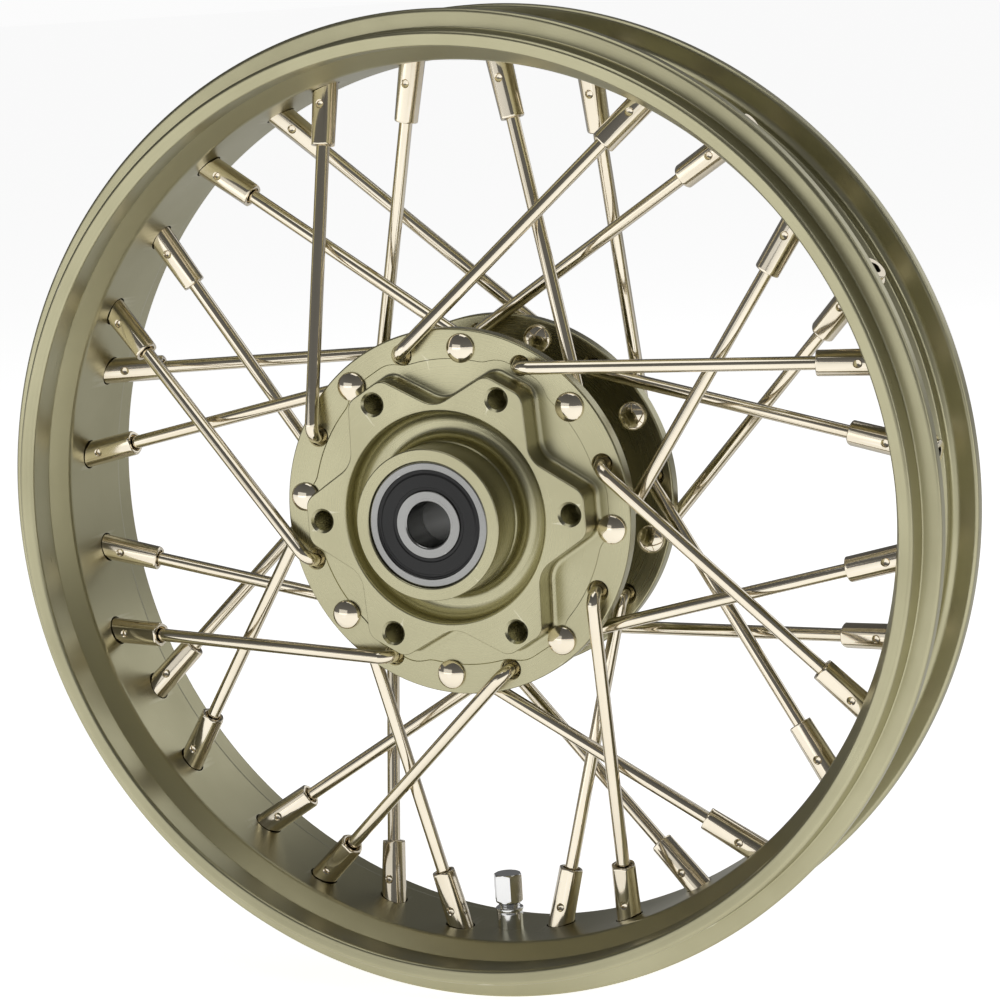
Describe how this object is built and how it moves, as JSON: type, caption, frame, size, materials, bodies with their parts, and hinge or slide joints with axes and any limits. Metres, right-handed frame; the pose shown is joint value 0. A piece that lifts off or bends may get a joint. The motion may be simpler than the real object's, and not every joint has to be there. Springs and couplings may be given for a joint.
{
  "type": "spoked motorcycle wheel",
  "caption": "Wire-spoked motorcycle wheel: shouldered light-alloy rim laced in crossed pairs to a flanged hub with sealed bearings and a lobed disc plate.",
  "frame": {"origin": "centre of the wheel on the axle's axis, midway between the two rim edges", "axes": "+Y along the axle's axis, away from the disc plate; -Z towards the valve; +X in the plane of the wheel"},
  "size_m": [0.332, 0.0962, 0.332],
  "materials": {
    "rim_alloy": "satin champagne anodised",
    "hub_alloy": "satin champagne anodised",
    "bearing_steel": "ground",
    "cage_brass": "machined",
    "seal_rubber": "matte",
    "tube_alloy": "turned",
    "spoke_steel": "bright nickel plated",
    "nipple_nickel": "bright nickel plated",
    "valve_chrome": "polished"
  },
  "bodies": {
    "axle_core": {"near_inner_ring": "bearing_steel", "far_inner_ring": "bearing_steel", "distance_tube": "tube_alloy"},
    "wheel": {"rim": "rim_alloy", "hub_shell": "hub_alloy", "near_outer_ring": "bearing_steel", "far_outer_ring": "bearing_steel", "near_outer_seal": "seal_rubber", "near_inner_seal": "seal_rubber", "far_outer_seal": "seal_rubber", "far_inner_seal": "seal_rubber", "near_elbow_out_spokes": "spoke_steel", "near_head_out_spokes": "spoke_steel", "far_elbow_out_spokes": "spoke_steel", "far_head_out_spokes": "spoke_steel", "near_elbow_out_nipples": "nipple_nickel", "near_head_out_nipples": "nipple_nickel", "far_elbow_out_nipples": "nipple_nickel", "far_head_out_nipples": "nipple_nickel", "near_nipple_washers": "nipple_nickel", "far_nipple_washers": "nipple_nickel", "valve_stem": "valve_chrome", "valve_gasket": "seal_rubber", "valve_sleeve_nut": "valve_chrome", "valve_core_body": "cage_brass", "valve_core_spring": "bearing_steel"},
    "near_ball_set": {"near_balls": "bearing_steel", "near_cage": "cage_brass"},
    "far_ball_set": {"far_balls": "bearing_steel", "far_cage": "cage_brass"},
    "valve_cap": {"valve_cap": "valve_chrome", "valve_cap_seal": "seal_rubber"},
    "valve_core_pin": {"valve_core_pin": "bearing_steel"}
  },
  "joints": [
    {"name": "wheel_spin", "type": "hinge", "parent": "axle_core", "child": "wheel", "pos_m": [0, 0, 0], "axis": [0, 1, 0], "continuous": true},
    {"name": "near_ball_orbit", "type": "hinge", "parent": "axle_core", "child": "near_ball_set", "pos_m": [0, -0.0408, 0], "axis": [0, 1, 0], "continuous": true},
    {"name": "far_ball_orbit", "type": "hinge", "parent": "axle_core", "child": "far_ball_set", "pos_m": [0, 0.0408, 0], "axis": [0, 1, 0], "continuous": true},
    {"name": "valve_cap_off", "type": "slide", "parent": "wheel", "child": "valve_cap", "axis": [0, 0, 1], "range_m": [0, 0.012]},
    {"name": "valve_core_open", "type": "slide", "parent": "wheel", "child": "valve_core_pin", "axis": [0, 0, -1], "range_m": [0, 0.0012], "stiffness_N_per_m": 200, "deforming": ["valve_core_spring"]}
  ],
  "couplings": [
    {"joint": "near_ball_orbit", "follows": "wheel_spin", "ratio": 0.6393},
    {"joint": "far_ball_orbit", "follows": "wheel_spin", "ratio": 0.6393}
  ]
}
